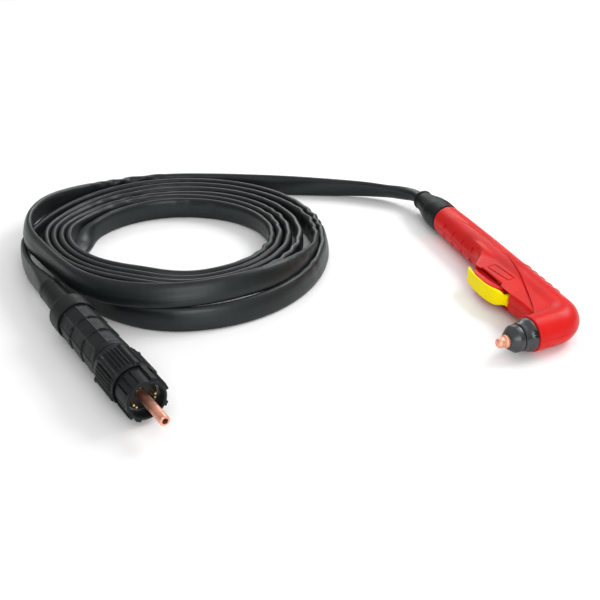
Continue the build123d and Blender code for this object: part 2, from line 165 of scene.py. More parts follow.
def tinted(nodes, links, shader, value, dark, light):
    """Base colour from dark to light by a value; 6 and 7 are the mix node's colours."""
    mix = nodes.new("ShaderNodeMix")
    mix.data_type = "RGBA"
    mix.inputs[6].default_value = (*dark, 1)
    mix.inputs[7].default_value = (*light, 1)
    links.new(value, mix.inputs[0])
    links.new(mix.outputs[2], shader.inputs["Base Color"])


def bumped(nodes, links, shader, layers):
    """Chains bump layers, each (height value, strength, distance in metres)."""
    last = None
    for value, strength, distance in layers:
        bump = nodes.new("ShaderNodeBump")
        bump.inputs["Strength"].default_value = strength
        bump.inputs["Distance"].default_value = distance
        links.new(value, bump.inputs["Height"])
        if last:
            links.new(last, bump.inputs["Normal"])
        last = bump.outputs["Normal"]
    links.new(last, shader.inputs["Normal"])


def scaled(color, factor):
    """A colour made darker or lighter, at most 1 in each channel."""
    return tuple(min(1.0, c * factor) for c in color)


def moulded(grain=1400.0, depth=0.00005, spread=0.12):
    """Moulded plastic: fine grain, faint flow marks and uneven gloss."""

    def build(nodes, links, shader, color, rough):
        fine = noise_node(nodes, links, grain, 2.0)
        broad = noise_node(nodes, links, 28.0, 3.0)
        tone = ranged(nodes, links, broad, 0.0, 1.0)
        tinted(nodes, links, shader, tone, scaled(color, 1 - spread), scaled(color, 1 + spread))
        gloss = ranged(nodes, links, noise_node(nodes, links, 160.0, 4.0), rough - 0.06, rough + 0.08)
        links.new(gloss, shader.inputs["Roughness"])
        bumped(nodes, links, shader, [(fine, 0.35, depth), (broad, 0.10, 0.0004)])

    return build


def rubbery(nodes, links, shader, color, rough):
    """Rubber: soft mottling and a slightly pitted skin."""
    fine = noise_node(nodes, links, 900.0, 4.0)
    broad = noise_node(nodes, links, 45.0, 4.0)
    tinted(
        nodes, links, shader, ranged(nodes, links, broad, 0.0, 1.0),
        scaled(color, 0.75), scaled(color, 1.35),
    )
    gloss = ranged(nodes, links, broad, rough - 0.07, rough + 0.1)
    links.new(gloss, shader.inputs["Roughness"])
    bumped(nodes, links, shader, [(fine, 0.3, 0.00006), (broad, 0.15, 0.0006)])


def sheathing(nodes, links, shader, color, rough):
    """The hose's skin: lengthwise streaks, small creases across it and a fine grain."""
    streaks = noise_node(nodes, links, 1.0, 3.0, (9.0, 260.0, 1.0), "UV")
    creases = noise_node(nodes, links, 1.0, 4.0, (150.0, 22.0, 1.0), "UV")
    grain = noise_node(nodes, links, 1.0, 2.0, (1500.0, 1500.0, 1.0), "UV")
    tinted(
        nodes, links, shader, ranged(nodes, links, creases, 0.0, 1.0),
        scaled(color, 0.8), scaled(color, 1.3),
    )
    gloss = ranged(nodes, links, streaks, rough - 0.06, rough + 0.12)
    links.new(gloss, shader.inputs["Roughness"])
    layers = [(streaks, 0.25, 0.0006), (creases, 0.22, 0.0009), (grain, 0.2, 0.00004)]
    bumped(nodes, links, shader, layers)


def turned_metal(lines=2600.0):
    """Turned metal: fine rings of tool marks and light tarnish."""

    def build(nodes, links, shader, color, rough):
        marks = noise_node(nodes, links, lines, 2.0)
        tarnish = noise_node(nodes, links, 120.0, 4.0)
        tinted(
            nodes, links, shader, ranged(nodes, links, tarnish, 0.0, 1.0),
            scaled(color, 0.8), scaled(color, 1.08),
        )
        gloss = ranged(nodes, links, tarnish, rough - 0.05, rough + 0.14)
        links.new(gloss, shader.inputs["Roughness"])
        bumped(nodes, links, shader, [(marks, 0.2, 0.00003)])

    return build


COOL = (0.92, 1.0, 0.985, 1)         # the shine of the black materials is a little green
RED = material("red_plastic", (0.63, 0.014, 0.012), 0.33, build=moulded(), Specular_IOR_Level=0.12)
YELLOW = material("yellow_plastic", (0.95, 0.77, 0.0), 0.42, build=moulded(1400.0, 0.00004, 0.04),
                  Specular_IOR_Level=0.06)
DARK = material("dark_plastic", (0.0085, 0.0105, 0.0108), 0.46, build=moulded(1100.0, 0.00007),
                Specular_IOR_Level=0.19, Specular_Tint=COOL)
CARRIER = material("carrier_plastic", (0.003, 0.003, 0.0035), 0.5, build=moulded())
CAP = material("cap_grey", (0.013, 0.015, 0.017), 0.31, build=moulded(1600.0, 0.00006),
               Specular_IOR_Level=0.75)
SWIRL = material("swirl_ring", (0.5, 0.25, 0.1), 0.5, build=moulded())
RUBBER = material("black_rubber", (0.0055, 0.0068, 0.0070), 0.46, build=rubbery,
                  Specular_IOR_Level=0.2, Specular_Tint=COOL)
SHEATH = material("hose_sheath", (0.0044, 0.0066, 0.0068), 0.37, build=sheathing,
                  Specular_IOR_Level=0.44, Specular_Tint=COOL)
INNER = material("inner_hose", (0.02, 0.02, 0.02), 0.5, build=rubbery)
WIRE_RED = material("wire_red", (0.6, 0.03, 0.03), 0.4, build=moulded())
WIRE_WHITE = material("wire_white", (0.85, 0.85, 0.82), 0.4, build=moulded())
WIRE_BLUE = material("wire_blue", (0.05, 0.12, 0.45), 0.4, build=moulded())
COPPER = material("copper", (0.86, 0.43, 0.31), 0.42, 1.0, build=turned_metal())
BRASS = material("brass", (0.82, 0.62, 0.28), 0.25, 1.0, build=turned_metal())
STEEL = material("steel", (0.66, 0.66, 0.68), 0.28, 1.0, build=turned_metal())

SLOTS = {
    "red_plastic": RED, "yellow_plastic": YELLOW, "dark_plastic": DARK,
    "carrier_plastic": CARRIER, "cap_grey": CAP, "swirl_ring": SWIRL, "black_rubber": RUBBER,
    "hose_sheath": SHEATH, "inner_hose": INNER, "wire_red": WIRE_RED,
    "wire_white": WIRE_WHITE, "wire_blue": WIRE_BLUE, "copper": COPPER, "brass": BRASS,
    "steel": STEEL,
}
for entry in frame["record"]["subparts"]:
    node = frame["nodes"][entry["node"]]
    node.data.materials.clear()
    node.data.materials.append(SLOTS[entry["material_slot"]])


# ---------------------------------------------------------------- mesh helpers
def piece(name, verts, faces, body, slot, replaces=(), uvs=None, sharp=None):
    """A mesh from points in mm that rides on a body and stands for CAD nodes."""
    mesh = bpy.data.meshes.new(name)
    mesh.from_pydata([tuple(v) for v in np.asarray(verts) * MM], [], faces)
    mesh.validate()
    mesh.shade_smooth()
    if uvs is not None:
        layer = mesh.uv_layers.new(name="along")
        loops = np.zeros(len(mesh.loops), int)
        mesh.loops.foreach_get("vertex_index", loops)
        layer.data.foreach_set("uv", np.asarray(uvs)[loops].ravel())
    obj = bpy.data.objects.new(name, mesh)
    bpy.context.collection.objects.link(obj)
    mesh.materials.append(SLOTS[slot])
    if sharp:
        mesh.set_sharp_from_angle(angle=math.radians(sharp))
    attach(obj, body)
    if replaces:
        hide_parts(*replaces)
    return obj


def grid_faces(rows, columns, closed, first=0, flip=False):
    """Quads between rows of points; closed joins each row's last column to its first."""
    faces = []
    last = columns if closed else columns - 1
    for i in range(rows - 1):
        for j in range(last):
            k = (j + 1) % columns
            quad = (
                first + i * columns + j, first + i * columns + k,
                first + (i + 1) * columns + k, first + (i + 1) * columns + j,
            )
            faces.append(quad[::-1] if flip else quad)
    return faces


def cross_frame(direction):
    """Two directions square to a level one, to its left and up, or to the upright one."""
    if direction[2] > 0.9:
        return np.array([1.0, 0.0, 0.0]), np.array([0.0, 1.0, 0.0])
    left = np.array([-direction[1], direction[0], 0.0])
    return left, UP


def lathe(name, origin, direction, profile, body, slot, replaces=(), steps=128, shape=None,
          sharp=35, fine=0.0):
    """Turns (along, radius) points about an axis; shape(along, angle, radius) adds to it."""
    left, up = cross_frame(direction)
    points = [np.array(profile[0], float)]
    for target in profile[1:]:
        target = np.array(target, float)
        gap = np.linalg.norm(target - points[-1])
        parts = max(1, int(math.ceil(gap / fine))) if fine else 1
        start = points[-1]
        for part in range(1, parts + 1):
            points.append(start + (target - start) * part / parts)
    points = np.array(points)
    angles = np.linspace(0, 2 * math.pi, steps, endpoint=False)
    s, a = np.meshgrid(points[:, 0], angles, indexing="ij")
    r = np.repeat(points[:, 1][:, None], steps, axis=1)
    if shape:
        r = r + shape(s, a, r)
    verts = (
        origin + s[..., None] * direction
        + (r * np.cos(a))[..., None] * left + (r * np.sin(a))[..., None] * up
    )
    faces = grid_faces(len(points), steps, True, flip=True)
    return piece(name, verts.reshape(-1, 3), faces, body, slot, replaces, sharp=sharp)


# ---------------------------------------------------------------- hose
HOSE_HALF_WIDTH = 12.0
HOSE_HALF_THICKNESS = 3.75
STANDING = 12.1                      # height of the hose's middle where it stands on its edge


def torch_at(x):
    """A point on the handle's axis, x mm in front of the boot's joint."""
    return tuple(BOOT_JOINT + np.array([x, 0.0, 0.0]))


# The route's corners from the boot to the coil, and from the coil to the connector, in mm.
torch_route = [
    torch_at(-BOOT_LENGTH + 4), torch_at(-BOOT_LENGTH - 12),
    (-194.8, 20.0, 15.4), (-210.8, 4.0, 13.8), (-225.3, -13.0, 12.9), (-239.8, -38.0, 12.3),
    (-261.8, -81.0, 12.1), (-285.3, -128.5, 12.1), (-309.8, -179.0, 12.1),
]
connector_route = [
    (-207.8, -420.8, 12.1), (-187.8, -424.2, 12.4), (-164.8, -425.4, 13.6),
    (-137.8, -424.2, 16.2), (-111.8, -420.4, 19.2),
    tuple(CONNECTOR - CONNECTOR_DIR * (SLEEVE_LENGTH + 14)),
    tuple(CONNECTOR - CONNECTOR_DIR * (SLEEVE_LENGTH - 4)),
]

# Radius of the coil's line at each quarter turn, starting at the back and going round
# anticlockwise. Every fourth value is the same side of the coil.
quarter_radii = [
    171, 164, 165, 149, 139, 141, 123, 131, 127, 133, 115, 120, 112, 125, 106.5, 110,
    102, 117, 98, 101, 92, 109, 170, 158, 154, 159,
]
QUARTERS = 25.0
POINTS_PER_TURN = 24
POINTS_OUTSIDE = 1.006               # the line runs a little inside its points
CROSS_START = 21.0                   # from the innermost turn the hose goes out under the others
CROSS_END = 21.6
CROSS_DROP = 8.0                     # it lies flat there, lower by this, and the others rise as much


def coil_radius(k):
    """Radius at quarter turn k, smooth between the values of the list."""
    i = min(int(k), len(quarter_radii) - 2)
    t = k - i
    before = quarter_radii[max(i - 1, 0)]
    a, b = quarter_radii[i], quarter_radii[i + 1]
    after = quarter_radii[min(i + 2, len(quarter_radii) - 1)]
    radius = 0.5 * (
        2 * a + (b - before) * t + (2 * before - 5 * a + 4 * b - after) * t * t
        + (3 * a - before - 3 * b + after) * t**3
    )
    # straighter stretches at the left front, in the first turn and after the crossing
    radius -= 17.5 * bell(k, 1.40, 0.27)
    radius -= 6 * bell(k, 21.72, 0.14)
    # the turns between them are not quite even
    if 3.4 < k < 21.5:
        radius += 0.5 * math.sin(2.7 * k + 1) + 0.4 * math.sin(4.3 * k + 2)
    return float(radius)


# The first turn climbs onto the others at the left and comes down at the right.
FIRST_TURN_END = 3.0
first_turn_height = curve_through([
    (0, STANDING), (0.33, 14), (0.67, 26), (0.95, 34.5), (1.4, 35.0), (2.3, 34.8), (2.68, 25),
    (2.9, 14), (FIRST_TURN_END, STANDING),
])


def coil_height(k):
    """Height of the hose's middle at quarter turn k."""
    if k < FIRST_TURN_END:
        return float(first_turn_height(k))
    if CROSS_START - 0.35 < k < CROSS_END + 0.15:
        low = ramp(k, CROSS_START - 0.3, CROSS_START + 0.1)
        low = low * (1 - ramp(k, CROSS_END - 0.28, CROSS_END + 0.04))
        return float(STANDING - CROSS_DROP * low)
    # the other turns rise between left and front, where the crossing strand is under them
    raised = 0.0
    turn = (k - 1.0) % 4
    if k < 19:
        raised = CROSS_DROP * ramp(turn, -0.25, 0.12) * (1 - ramp(turn, 0.75, 1.15))
        if turn > 3.6:
            raised = CROSS_DROP * ramp(turn - 4, -0.25, 0.12)
    return float(STANDING + raised)


coil_points = []
step = 4 / POINTS_PER_TURN
for index in range(1, int(round(QUARTERS / step))):
    k = index * step
    angle = math.radians(90 + 90 * k + COIL_PHASE)
    radius = coil_radius(k) * POINTS_OUTSIDE
    x = COIL_CENTRE[0] + radius * math.cos(angle)
    y = COIL_CENTRE[1] + radius * math.sin(angle)
    coil_points.append((x, y, coil_height(k)))

hose_line = bpy.data.curves.new("hose_line", "CURVE")
hose_line.dimensions = "3D"
spline = hose_line.splines.new("NURBS")
hose_points = torch_route + coil_points + connector_route
spline.points.add(len(hose_points) - 1)
for point, place in zip(spline.points, hose_points):
    point.co = (place[0] * MM, place[1] * MM, place[2] * MM, 1)
spline.order_u = 3
spline.use_endpoint_u = True
spline.resolution_u = 10
line_object = bpy.data.objects.new("hose_line", hose_line)
bpy.context.collection.objects.link(line_object)
sampled = bpy.data.meshes.new_from_object(line_object)
line = np.array([v.co[:] for v in sampled.vertices]) / MM
bpy.data.objects.remove(line_object)
bpy.data.meshes.remove(sampled)

# the same line in even steps, without the curve's doubled points
SAMPLE_GAP = 2.5
gaps = np.linalg.norm(np.diff(line, axis=0), axis=1)
line = line[np.concatenate([[True], gaps > 0.05])]
gaps = np.linalg.norm(np.diff(line, axis=0), axis=1)
uneven = np.concatenate([[0], np.cumsum(gaps)])
hose_length = uneven[-1]
along = np.arange(0, hose_length, SAMPLE_GAP)
along[-1] = hose_length
line = np.stack([np.interp(along, uneven, line[:, i]) for i in range(3)], axis=1)
from_end = hose_length - along

# where each sample lies round the coil, as the quarter turn k, counted from a known point
KNOWN = 6
known_place = np.array(coil_points[KNOWN - 1])
nearest = int(np.argmin(np.linalg.norm(line - known_place, axis=1)))
spoke = line[:, :2] - COIL_CENTRE
turned_by = np.unwrap(np.arctan2(spoke[:, 1], spoke[:, 0]))
quarter = KNOWN * step + (turned_by - turned_by[nearest]) / (math.pi / 2)


def hose_roll():
    """Roll along the hose in radians: 0 stands on its edge, positive leans outward."""
    on_top = ramp(quarter, 0.55, 0.95) * (1 - ramp(quarter, 2.45, 2.95))
    degrees = -20 * on_top * (0.85 + 0.15 * ramp(quarter, 1.2, 2.0))
    degrees += 11 * bell(quarter, 1.38, 0.28)
    crossing = ramp(quarter, CROSS_START - 0.25, CROSS_START + 0.12)
    degrees += 86 * crossing * (1 - ramp(quarter, CROSS_END - 0.28, CROSS_END + 0.04))
    degrees -= 13 * ramp(quarter, 21.75, 22.1) * (1 - ramp(quarter, 23.3, 24.2))
    degrees -= 38 * (1 - ramp(along, 20, 210)) * ramp(along, 10, 60)
    degrees += 10 * bell(along, 200, 40)
    degrees -= 3 * (1 - ramp(from_end, 60, 230)) * ramp(from_end, 5, 30)
    wander = np.sin(along / 173.0) + 0.6 * np.sin(along / 71.0 + 1.3)
    degrees += 2.2 * wander * ramp(quarter, 2.9, 3.4)
    return np.radians(degrees)


def hose_half(full, at_boot, at_sleeve):
    """A half size along the hose, full between the sizes at its two ends."""
    neck = 1 - ramp(along, 8, 70)
    tail = 1 - ramp(from_end, 4, 58)
    return (full * (1 - neck) + at_boot * neck) * (1 - tail) + at_sleeve * tail


def hose_buckles():
    """Shift of the sheath's upper edge where it buckles in its bends, positive inward."""
    side = quarter % 4                # 0 back, 1 left, 2 front, 3 right
    right_side = bell(side, 3.02, 0.36) + bell(side, -0.98, 0.36)
    back_side = bell(side, 0.35, 0.30) + bell(side, 4.35, 0.30)
    first_back = bell(quarter, 0.25, 0.3)
    phase = along / 3.3 + 1.9 * np.sin(along / 37.0) + 1.3 * np.sin(along / 17.0 + 0.5)
    ripple = np.sin(phase) * np.clip(0.55 + 0.75 * np.sin(along / 29.0 + 1.0), 0, 1.3)
    ripple += 0.35 * np.sin(along / 5.7 + 2.0)
    in_coil = ramp(quarter, -0.4, -0.1) * (1 - ramp(quarter, 24.9, 25.2))
    return (1.55 * right_side + 0.8 * back_side + 1.3 * first_back) * in_coil * ripple


# the hose's outline is a rounded oblong: -1 to 1 through its thickness and its width
AROUND = 32
SQUARENESS = 2.9
LOWEST = 0.15                        # no part of the sheath is nearer the floor
angles = np.linspace(0, 2 * math.pi, AROUND, endpoint=False)
cos_a, sin_a = np.cos(angles), np.sin(angles)
unit_thick = np.sign(cos_a) * np.abs(cos_a) ** (2 / SQUARENESS)
unit_wide = np.sign(sin_a) * np.abs(sin_a) ** (2 / SQUARENESS)

# the coil turns left, so the left of the line points to its centre
tangents = np.gradient(line, along, axis=0)
tangents /= np.linalg.norm(tangents, axis=1)[:, None]
inward = np.cross(UP, tangents)
inward /= np.linalg.norm(inward, axis=1)[:, None]
above = np.cross(tangents, inward)
roll = hose_roll()
wide_dir = above * np.cos(roll)[:, None] - inward * np.sin(roll)[:, None]
thick_dir = inward * np.cos(roll)[:, None] + above * np.sin(roll)[:, None]

# buckles, a soft wave, a few dents on the innermost turn's inside and the flat faces' bulge
half_width = hose_half(HOSE_HALF_WIDTH, 6.4, 10.4)
half_thick = hose_half(HOSE_HALF_THICKNESS, 6.0, 8.6)
buckle = hose_buckles()
top_only = np.clip(unit_wide, 0, 1) ** 2
inner_face = np.clip(unit_thick, 0, 1)
shift = buckle[:, None] * (0.85 * top_only + 0.15)[None, :]
soft_wave = 0.45 * np.sin(along / 31.0 + 0.7)[:, None] * unit_wide[None, :]
dents = bell(quarter, 19.86, 0.12) * np.clip(np.sin(along / 4.6), 0, 1) ** 2
press = -3.0 * dents[:, None] * inner_face[None, :] * (1 - np.abs(unit_wide) ** 3)[None, :]
belly = 0.55 * (1 - np.abs(unit_wide) ** 2) * np.sign(unit_thick)

u = half_thick[:, None] * unit_thick[None, :] + shift + soft_wave + press + belly[None, :]
w = half_width[:, None] * unit_wide[None, :]
lift = 0.5 * buckle[:, None] * top_only[None, :] * (unit_wide > 0)
rings = line[:, None, :] + u[..., None] * thick_dir[:, None, :]
rings += (w + 0.35 * lift)[..., None] * wide_dir[:, None, :]
rings[..., 2] = np.maximum(rings[..., 2], LOWEST)

# texture coordinates in metres: along the hose and round it
outline_gaps = np.hypot(
    np.diff(unit_thick * HOSE_HALF_THICKNESS), np.diff(unit_wide * HOSE_HALF_WIDTH)
)
perimeter = np.concatenate([[0], np.cumsum(outline_gaps)])
uvs = np.stack(np.broadcast_arrays(
    (along * MM)[:, None], (perimeter * MM)[None, :]
), axis=-1).reshape(-1, 2)
hose = piece(
    "flat_hose", rings.reshape(-1, 3), grid_faces(len(line), AROUND, True), "torch",
    "hose_sheath", ("hose_tube_torch_side", "hose_tube_connector_side", "hose_coil"), uvs,
)


# ---------------------------------------------------------------- handle shells
grip_radius = curve_through([
    (0, 16.7), (30, 17.2), (60, 17.9), (90, 18.3), (130, 18.0), (170, 17.6), (205, 17.4),
    (243, 17.4),
])
hull_reach = curve_through([
    (78, 7), (92, 11.5), (100, 15.0), (107, 18.6), (114, 23.6), (121, 29.2), (128, 33.0),
    (133.4, 33.6), (135.0, 30.0), (150, 29.4), (171.5, 28.8), (174.0, 32.0), (186, 32.6),
    (198, 31.6), (212, 30.4), (240, 30.2),
])
ridge_line = curve_through([
    (30, -5), (55, -1.5), (74, 0.5), (95, 2.6), (113, 2.8), (130, 0.8), (145, -2.2),
    (158, -5), (171, -8), (193, -14.8), (212, -21.5), (228, -28), (240, -33),
])
HALF_THICKNESS = 17.2                # from the handle's axis to its flank
HULL_FLANK = 15.98                   # half thickness of the hull round the trigger
HULL_START = 96.6                    # where the hull begins, 15.2 mm below the axis
HULL_SLANT = 2.17                    # mm forward for each mm up
WINDOW_ANGLE = math.radians(16.6)    # half of the trigger's mouth, seen from the axis
MOUTH_REAR = 126.2
MOUTH_FRONT = 192.0
MOUTH_DEPTH = 9.5
REAR_EDGE = 1.2                      # rounding of the shells' rear edge
SCOOP_ANGLE = math.radians(159)
SCOOP_DEPTH = 2.9
scoop_places = [25.0, 46.0, 67.0, 88.0]
RIB_HEIGHT = 1.35
rib_places = [153.0, 166.0, 179.0, 192.0, 205.0]
PAD_REAR = 138.0                     # of the raised pads on the flanks
PAD_FRONT = 170.0


def handle_section(x, a):
    """Radius of the handle at x for an angle a: 0 is +Y, 90 degrees is up."""
    ca, sa = np.cos(a), np.sin(a)
    wide = grip_radius(x)
    tall = np.minimum(wide, HALF_THICKNESS)
    round_part = 1 / np.sqrt((ca / wide) ** 2 + (sa / tall) ** 2)
    # the hull below the axis, with its flanks, its bottom and its slanted start
    flank = HULL_FLANK / (np.abs(sa) + 0.185 * np.abs(ca) + 1e-6)
    bottom = hull_reach(x) / np.maximum(-ca, 1e-3)
    hull = smooth_min(flank, bottom, 1.2 + 10 * (1 - ramp(x, 102, 126)))
    hull = np.where(ca < 0, hull, 0)
    start = HULL_START + HULL_SLANT * (round_part * ca + 15.2)
    shown = ramp(x - start, -17, 11)
    hull = hull * shown + np.minimum(hull, round_part) * (1 - shown)
    soft = 1.5 + 6.5 * (1 - ramp(x, 104, 130)) * (1 - ramp(np.abs(sa), 0.75, 0.93))
    r = smooth_max(round_part, hull, soft)
    # step, bead and groove along the ridge line on both flanks
    y = r * ca
    below = 1 - ramp(y, ridge_line(x) - 0.6, ridge_line(x) + 0.6)
    depth = 0.25 * ramp(x, 28, 60) + 0.5 * ramp(x, 90, 150) + 1.9 * ramp(x, 160, 225)
    r = r - depth * below * ramp(np.abs(sa), 0.15, 0.4)
    bead = bell(y, ridge_line(x) + 0.9, 0.8) * ramp(np.abs(sa), 0.3, 0.6)
    r = r + (0.12 * ramp(x, 30, 60) + 0.2 * ramp(x, 90, 150)) * bead
    groove = bell(y, ridge_line(x) - 0.6, 0.7) * ramp(np.abs(sa), 0.2, 0.5)
    r = r - (0.16 * ramp(x, 28, 50) + 0.5 * ramp(x, 140, 200)) * groove
    return r


def angle_from(a, middle):
    """Angle a counted from a middle, between minus and plus half a turn."""
    return np.angle(np.exp(1j * (a - middle)))


def parting_line(r, a):
    """Depth of the fine groove between the halves."""
    return 0.3 * bell(r * np.sin(a), 0, 0.35)


def handle_details(x, a, r):
    """The handle's radius r with its scoops, ribs, pads, mouth and edges."""
    y = r * np.cos(a)
    # scoops for the fingers, steep on their rear side
    for place in scoop_places:
        for middle in (SCOOP_ANGLE, -SCOOP_ANGLE):
            off = angle_from(a, middle)
            here = place + 1.6 * np.abs(off) / 0.26
            scoop = ramp(x, here - 1.5, here - 0.8) * (1 - ramp(x, here + 0.3, here + 2.2))
            r = r - SCOOP_DEPTH * scoop * np.exp(-((off / 0.17) ** 6))
    # ribs on the spine
    for place in rib_places:
        rise = ramp(x, place - 7.5, place) * (1 - ramp(x, place, place + 1.1))
        r = r + RIB_HEIGHT * rise * np.exp(-((angle_from(a, 0.0) / 0.95) ** 6))
    # plain raised pad on each flank, with a groove round it
    low = -25.6 + (x - PAD_REAR) * 0.155
    high = -17.0 + (x - PAD_REAR) * 0.085
    inside = ramp(x, PAD_REAR - 0.4, PAD_REAR + 0.4) * (1 - ramp(x, PAD_FRONT - 0.4, PAD_FRONT + 0.4))
    inside = inside * ramp(y - low, 0, 0.8) * (1 - ramp(y - high, -0.8, 0))
    rim = ramp(x, PAD_REAR - 1.6, PAD_REAR - 0.8) * (1 - ramp(x, PAD_FRONT + 0.8, PAD_FRONT + 1.6))
    rim = rim * ramp(y - low, -1.2, -0.4) * (1 - ramp(y - high, 0.4, 1.2))
    r = r + (0.35 * inside - 0.75 * (rim - inside)) * (np.abs(np.sin(a)) > 0.3)
    # mouth of the trigger
    off = np.abs(angle_from(a, math.pi))
    mouth = 1 - ramp(off, WINDOW_ANGLE - 0.008, WINDOW_ANGLE + 0.008)
    mouth = mouth * ramp(x, MOUTH_REAR, MOUTH_REAR + 0.8)
    mouth = mouth * (1 - ramp(x, MOUTH_FRONT - 1.0, MOUTH_FRONT))
    r = r - MOUTH_DEPTH * mouth
    r = r - parting_line(r, a)
    return r - REAR_EDGE * (1 - ramp(x, 0, 1.8)) ** 2


def half_angles(upper, fine):
    """Angles of one half, packed closer at the mouth's edge and at the parting line."""
    base = np.linspace(0, math.pi, fine)
    edge = math.pi - WINDOW_ANGLE
    mouth_edge = edge + np.array([-0.02, -0.009, -0.004, 0.004, 0.009, 0.02])
    parting = np.array([0.004, 0.012, 0.025])
    packed = np.unique(np.concatenate([base, mouth_edge, parting, math.pi - parting]))
    return packed if upper else -packed


# extra stations at the rear edge and at the edges of the mouth and the hull
edge_stations = [0.3, 0.9, 126.4, 126.8, 133.8, 134.4, 172.4, 173.2, 191.3, 191.7]
NOSE_END = 236                       # the straight stretch runs on into the bend up to here
HEAD_RADIUS = 17.4
SCREW_ANGLE = math.radians(-36)
SCREW_BACK = 17                      # from the head's end
SCREW_DEPTH = 2.6
LIP_EDGE = 0.7                       # rounding of the head's end


def shell_half(upper):
    """One half of the handle: rear lip, straight body, nose, bent head and inner lip."""
    side_angles = half_angles(upper, 150)
    columns = len(side_angles)
    verts, faces = [], []

    def add_rings(stations, place):
        """Adds a strip of rings, one for each station."""
        first = sum(len(v) for v in verts)
        block = np.array([place(station) for station in stations])
        verts.append(block.reshape(-1, 3))
        faces.extend(grid_faces(len(stations), columns, False, first, flip=upper))

    def straight(x, r):
        """A ring across the handle's axis."""
        ring = np.zeros((columns, 3))
        ring[:, 0] = x
        ring[:, 1] = r * np.cos(side_angles)
        ring[:, 2] = r * np.sin(side_angles)
        return ring + BOOT_JOINT

    bend_start = HANDLE_LENGTH - TANGENT
    body_stations = np.arange(0, bend_start, 0.75)
    body_stations = np.unique(np.concatenate([body_stations, edge_stations, [bend_start]]))

    def body_radius(x):
        """The half's radius at one station, for each of its angles."""
        xs = np.full(columns, x)
        return handle_details(xs, side_angles, handle_section(xs, side_angles))

    def body_ring(x):
        return straight(x, body_radius(x))

    def rear_lip(depth):
        """A ring at the rear end, this deep inside the shell's outer edge."""
        r = handle_section(np.zeros(columns), side_angles) - REAR_EDGE - depth
        return straight(0.0, r)

    def nose_ring(x):
        """Past the bend's start only the underside stays outside the bent head."""
        elsewhere = np.where(np.cos(side_angles) < -0.35, 0.0, 1.0)
        tuck = 1.6 * elsewhere * ramp(x, bend_start, bend_start + 0.8)
        return straight(x, body_radius(x) - tuck)

    add_rings([3.0, 1.5, 0.0], rear_lip)
    add_rings(body_stations, body_ring)
    add_rings(np.arange(bend_start, NOSE_END, 0.7), nose_ring)

    arc_length = BEND_R * TURN
    end = arc_length + HEAD_LENGTH - TANGENT

    def bent(station, r):
        """A ring of the bent tube, with its station counted from the bend's start."""
        if station < arc_length:
            turn = station / BEND_R
            centre = BOOT_JOINT + np.array([
                bend_start + BEND_R * math.sin(turn), -BEND_R * (1 - math.cos(turn)), 0,
            ])
        else:
            turn = TURN
            centre = ELBOW + HEAD_DIR * (TANGENT + station - arc_length)
        direction = np.array([math.cos(-turn), math.sin(-turn), 0])
        left, up = cross_frame(direction)
        return (
            centre + (r * np.cos(side_angles))[:, None] * left
            + (r * np.sin(side_angles))[:, None] * up
        )

    def head_ring(station):
        """A ring of the head, with the parting line, a small screw hole and a rounded end."""
        wide = HEAD_RADIUS - 0.5 * ramp(station, arc_length, end)
        tall = HALF_THICKNESS - 0.3 * ramp(station, arc_length, end)
        ca, sa = np.cos(side_angles), np.sin(side_angles)
        r = 1 / np.sqrt((ca / wide) ** 2 + (sa / tall) ** 2)
        r = r - parting_line(r, side_angles)
        off = angle_from(side_angles, SCREW_ANGLE) * (HEAD_RADIUS - 0.4)
        away = np.hypot(off, station - (end - SCREW_BACK))
        r = r - SCREW_DEPTH * (1 - ramp(away, 1.2, 1.6))
        r = r - LIP_EDGE * ramp(station, end - 0.8, end) ** 2
        return bent(station, r)

    def inner_lip(depth):
        """The head's end goes inward first and then back inside."""
        inward_first = 1.9 * min(1.0, depth / 0.8)
        r = np.full(columns, HEAD_RADIUS - 0.5 - LIP_EDGE - inward_first)
        return bent(end - max(0.0, depth - 0.8), r)

    coarse = np.arange(0, end - 18, 0.8)
    fine = np.arange(end - 18, end, 0.35)
    add_rings(np.concatenate([coarse, fine, [end]]), head_ring)
    add_rings([0.0, 0.4, 0.8, 3.0, 6.0], inner_lip)
    name = "handle_upper" if upper else "handle_lower"
    node = "handle_shell_upper" if upper else "handle_shell_lower"
    piece(name, np.concatenate(verts), faces, "torch", "red_plastic", (node,), sharp=50)


shell_half(True)
shell_half(False)


# ---------------------------------------------------------------- boot
def boot_shape(s, a, r):
    """A slight oval squeeze where the boot is widest."""
    squeeze = 0.5 * bell(s, -24, 5) * np.cos(2 * a + 0.6)
    return np.where(r > 9, squeeze, 0)


lathe(
    "boot", BOOT_JOINT, np.array([1.0, 0, 0]),
    [(-50, 6.5), (-61.5, 6.9), (-62, 7.6), (-62, 10.6), (-61.6, 11.3), (-60.4, 11.7), (-58.9, 11.5),
     (-58.0, 10.9), (-57.2, 10.6), (-52, 11.4), (-46, 12.5), (-38, 14.3), (-30, 16.1), (-25.5, 16.9),
     (-22, 17.2), (-18, 17.3), (-9, 17.1), (-2.2, 16.95), (-1.0, 16.7), (-0.5, 16.0), (-0.5, 14.6)],
    "torch", "black_rubber", ("cable_boot",), 160, boot_shape, 40, 1.2,
)


# ---------------------------------------------------------------- trigger and lever
def bar(name, stations, section, body, slot, replaces):
    """A closed bar lofted along x; section(x) gives (y, z) points anticlockwise."""
    blocks = [np.array([(x, y, z) for y, z in section(x)]) for x in stations]
    columns = len(blocks[0])
    verts = np.concatenate(blocks) + BOOT_JOINT
    faces = grid_faces(len(blocks), columns, True)
    faces.append(tuple(range(columns))[::-1])
    faces.append(tuple(range((len(blocks) - 1) * columns, len(blocks) * columns)))
    piece(name, verts, faces, body, slot, replaces, sharp=35)


CORNER_STEPS = 6


